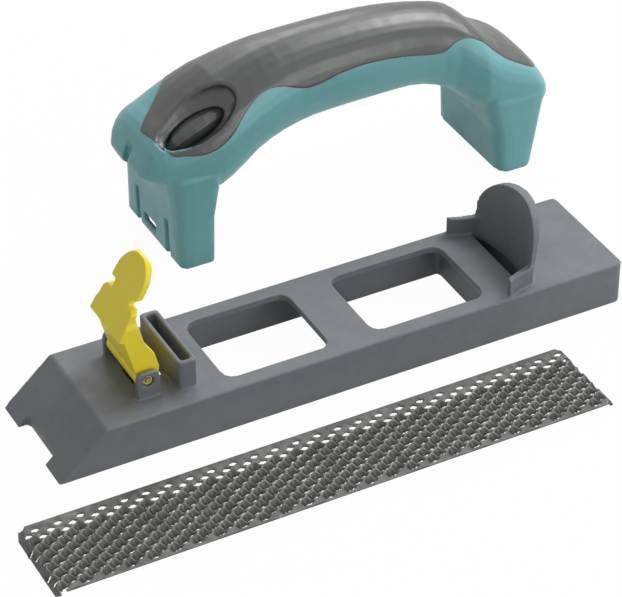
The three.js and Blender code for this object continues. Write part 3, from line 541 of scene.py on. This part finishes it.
def make_button():
    button = fine_mesh("thumb_button", ["release_button"], BUTTON_VOXEL, BUTTON_ROUNDS)
    dress(button, button_black)
    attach(button, "button")
    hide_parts("release_button")


def make_base():
    base = fine_mesh("base_shell", ["base_body"], BASE_VOXEL, BASE_ROUNDS)
    dress(base, grey_plastic)
    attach(base, "base")
    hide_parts("base_body")


def make_lever():
    lever = fine_mesh("lever_shell", ["tension_lever"], LEVER_VOXEL, LEVER_ROUNDS)
    dress(lever, yellow_plastic)
    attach(lever, "lever")
    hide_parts("tension_lever")


# Rasp blade: a sheet with a tooth pressed down beside each hole

def hole_centres():
    """Each hole's place along and across the blade, from the far edge on, and its tooth's depth."""
    centres = []
    first_row = BLADE_WIDTH / 2 - HOLE_FAR_MARGIN
    columns = math.ceil(BLADE_LENGTH / HOLE_PITCH)
    margin = HOLE_HALF_LENGTH + BLADE_THICKNESS
    for row in range(HOLE_ROWS):
        depth = PLAIN_DEPTH if row < PLAIN_ROWS else TOOTH_DEPTH
        shift = (row * HOLE_ROW_SHIFT) % HOLE_PITCH
        for column in range(columns + 1):
            place = column * HOLE_PITCH + shift
            if margin < place < BLADE_LENGTH - margin:
                centres.append((place, first_row - row * HOLE_ROW_PITCH, depth))
    return centres


def tooth_direction():
    """From a hole towards the next one on its slanting line, on the far side."""
    back = (SLANT_ROWS * HOLE_ROW_SHIFT) % HOLE_PITCH
    direction = np.array([-back, SLANT_ROWS * HOLE_ROW_PITCH])
    return direction / np.linalg.norm(direction)


def near_hole(along, across, place, side):
    """Which points lie close enough to a hole to be changed by it or by its tooth."""
    reach = TOOTH_LENGTH + HOLE_HALF_LENGTH
    return (np.abs(along - place) < reach) & (np.abs(across - side) < reach)


def pressed_depth(along, across, centres):
    """How far the sheet is pressed down by the teeth."""
    depth = np.zeros(along.shape)
    ahead = tooth_direction()
    for place, side, most in centres:
        near = near_hole(along, across, place, side)
        u = along[near] - place
        v = across[near] - side
        down = u * ahead[0] + v * ahead[1]
        beside = (u * ahead[1] - v * ahead[0]) / TOOTH_HALF_WIDTH
        front = np.clip(1 - (down / TOOTH_LENGTH) ** 2, 0, 1)
        back = np.exp(-((down / TOOTH_BACK) ** 2))
        ramp = np.where(down > 0, front, back)
        depth[near] = np.maximum(depth[near], most * ramp * np.exp(-(beside**2)))
    return depth


def end_cut_distance(along, across, end, side):
    """Rough signed distance to the notch and the cut corner at one corner of the sheet."""
    notch = abs(end - NOTCH_FROM_END)
    to_notch = np.hypot(along - notch, across - side) - NOTCH_RADIUS
    to_corner = (np.abs(along - end) + np.abs(across - side) - CORNER_CUT) / math.sqrt(2)
    return np.minimum(to_notch, to_corner)


def cut_distance(along, across, centres):
    """Rough signed distance to the nearest cut edge, negative where metal is missing."""
    distance = np.full(along.shape, BLADE_WIDTH)
    for place, side, _ in centres:
        near = near_hole(along, across, place, side)
        u = np.abs(along[near] - place) / HOLE_HALF_LENGTH
        v = np.abs(across[near] - side) / HOLE_HALF_WIDTH
        ring = (u**HOLE_POWER + v**HOLE_POWER) ** (1 / HOLE_POWER)
        distance[near] = np.minimum(distance[near], (ring - 1) * HOLE_MEAN_RADIUS)
    for end in (0, BLADE_LENGTH):
        for side in (-BLADE_WIDTH / 2, BLADE_WIDTH / 2):
            distance = np.minimum(distance, end_cut_distance(along, across, end, side))
    return distance


def blade_grid():
    """Even steps along and across the flat sheet."""
    columns = round(BLADE_LENGTH / BLADE_GRID) + 1
    rows = round(BLADE_WIDTH / BLADE_GRID) + 1
    return np.meshgrid(
        np.linspace(0, BLADE_LENGTH, columns),
        np.linspace(-BLADE_WIDTH / 2, BLADE_WIDTH / 2, rows),
        indexing="ij",
    )


def snapped_grid(centres):
    """The grid, with its points near a cut edge moved onto that edge."""
    along, across = blade_grid()
    for _ in range(SNAP_ROUNDS):
        distance = cut_distance(along, across, centres)
        slope_u = (cut_distance(along + SNAP_NUDGE, across, centres) - distance) / SNAP_NUDGE
        slope_v = (cut_distance(along, across + SNAP_NUDGE, centres) - distance) / SNAP_NUDGE
        steepness = np.maximum(slope_u**2 + slope_v**2, SNAP_LEAST_STEEPNESS)
        close = np.abs(distance) < SNAP_REACH
        along = np.where(close, along - distance * slope_u / steepness, along)
        across = np.where(close, across - distance * slope_v / steepness, across)
    along = np.clip(along, 0, BLADE_LENGTH)
    across = np.clip(across, -BLADE_WIDTH / 2, BLADE_WIDTH / 2)
    return along, across


def bent_profile(along):
    """How far the sheet's upper face runs and rises from its left end: flat, with both ends turned down."""
    steps = np.linspace(0, BLADE_LENGTH, BLADE_PROFILE_STEPS)
    gap = steps[1] - steps[0]
    from_end = np.minimum(steps, BLADE_LENGTH - steps)
    share = np.clip((BLADE_STRIP + BLADE_BEND_LENGTH / 2 - from_end) / BLADE_BEND_LENGTH, 0, 1)
    turn = share * BLADE_BEND
    angle = np.where(steps < BLADE_LENGTH / 2, turn, -turn)
    run = np.concatenate(([0], np.cumsum(np.cos(angle[1:]) * gap)))
    rise = np.concatenate(([0], np.cumsum(np.sin(angle[1:]) * gap)))
    return np.interp(along, steps, run), np.interp(along, steps, rise)


def grid_faces(columns, rows):
    """The four corners of each square of a grid, by number."""
    numbers = np.arange(columns * rows).reshape(columns, rows)
    corners = [numbers[:-1, :-1], numbers[1:, :-1], numbers[1:, 1:], numbers[:-1, 1:]]
    return np.stack(corners, axis=-1).reshape(-1, 4)


def blade_mesh():
    centres = hole_centres()
    along, across = snapped_grid(centres)
    distance = cut_distance(along, across, centres)
    run, rise = bent_profile(along)
    height = rise - pressed_depth(along, across, centres)
    points = np.stack([run - run.max() / 2, across, height], axis=-1).reshape(-1, 3) * MM
    low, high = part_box("rasp_blade")
    middle = (low + high) / 2
    points += np.array([middle.x, middle.y, low.z + BLADE_THICKNESS * MM])
    faces = grid_faces(*along.shape)
    faces = faces[distance.ravel()[faces].mean(axis=1) > 0]
    used, packed = np.unique(faces, return_inverse=True)
    mesh = bpy.data.meshes.new("blade")
    mesh.from_pydata(points[used].tolist(), [], packed.reshape(-1, 4).tolist())
    return mesh


def make_blade():
    blade = new_object("blade_sheet", blade_mesh())
    thick = blade.modifiers.new("thickness", "SOLIDIFY")
    thick.thickness = BLADE_THICKNESS * MM
    thick.offset = -1
    smooth_shaded(with_modifiers(blade))
    dress(blade, blade_steel)
    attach(blade, "blade")
    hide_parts("rasp_blade")


def dress_small_pieces():
    bright = (bright_steel, "bright_steel")
    dark = (dark_steel, "dark_steel")
    looks = {
        "lever_pin": bright,
        "hook_pin": bright,
        "tension_hook": dark,
        "rear_anchor_plate": dark,
        "anchor_screw_near": bright,
        "anchor_screw_far": bright,
        "button_spring": bright,
    }
    for name, (material, slot) in looks.items():
        dress(nodes[name], material)


# Studio

def area_light(name, place, power, size):
    data = bpy.data.lights.new(name, "AREA")
    data.energy = power
    data.size = size
    lamp = bpy.data.objects.new(name, data)
    lamp.location = place
    lamp.rotation_euler = (CAMERA_TARGET - place).to_track_quat("-Z", "Y").to_euler()
    bpy.context.scene.collection.objects.link(lamp)


def seen_directly(tree):
    """1 for rays from the camera and through or off shiny surfaces, else 0."""
    path = tree.nodes.new("ShaderNodeLightPath")
    total = path.outputs["Is Camera Ray"]
    for name in ("Is Glossy Ray", "Is Transmission Ray"):
        total = math_node(tree, "MAXIMUM", total, path.outputs[name])
    return total


def floor_white():
    """Grey to the light that falls on it, and nearly white to the camera."""
    material = bpy.data.materials.new("floor_white")
    material.use_nodes = True
    tree = material.node_tree
    plain = tree.nodes["Principled BSDF"]
    plain.inputs["Base Color"].default_value = (FLOOR_GREY, FLOOR_GREY, FLOOR_GREY, 1)
    plain.inputs["Roughness"].default_value = FLOOR_ROUGHNESS
    glow = tree.nodes.new("ShaderNodeEmission")
    share = math_node(tree, "MULTIPLY", seen_directly(tree), FLOOR_WHITE_SHARE)
    mix_shaders(tree, share, plain.outputs[0], glow.outputs[0], "Material Output")
    return material


def make_floor():
    half = FLOOR_SIZE / 2
    corners = [(-half, -half), (half, -half), (half, half), (-half, half)]
    mesh = bpy.data.meshes.new("floor")
    mesh.from_pydata([(x, y, -FLOOR_DROP) for x, y in corners], [], [(0, 1, 2, 3)])
    mesh.materials.append(floor_white())
    floor = new_object("floor", mesh)


def make_world():
    """Dim, even light on the pieces, and plain white behind them."""
    world = bpy.data.worlds.new("studio")
    bpy.context.scene.world = world
    world.use_nodes = True
    tree = world.node_tree
    light = tree.nodes["Background"]
    light.inputs["Strength"].default_value = WORLD_STRENGTH
    light.inputs["Color"].default_value = WHITE
    white = tree.nodes.new("ShaderNodeBackground")
    white.inputs["Color"].default_value = WHITE
    mix_shaders(tree, seen_directly(tree), light.outputs[0], white.outputs[0], "World Output")


make_handle()
make_button()
make_base()
make_lever()
make_blade()
dress_small_pieces()
make_floor()
make_world()
area_light("key", KEY_PLACE, KEY_POWER, KEY_SIZE)
area_light("fill", FILL_PLACE, FILL_POWER, FILL_SIZE)
area_light("back", BACK_PLACE, BACK_POWER, BACK_SIZE)
bpy.context.scene.view_settings.view_transform = "Standard"
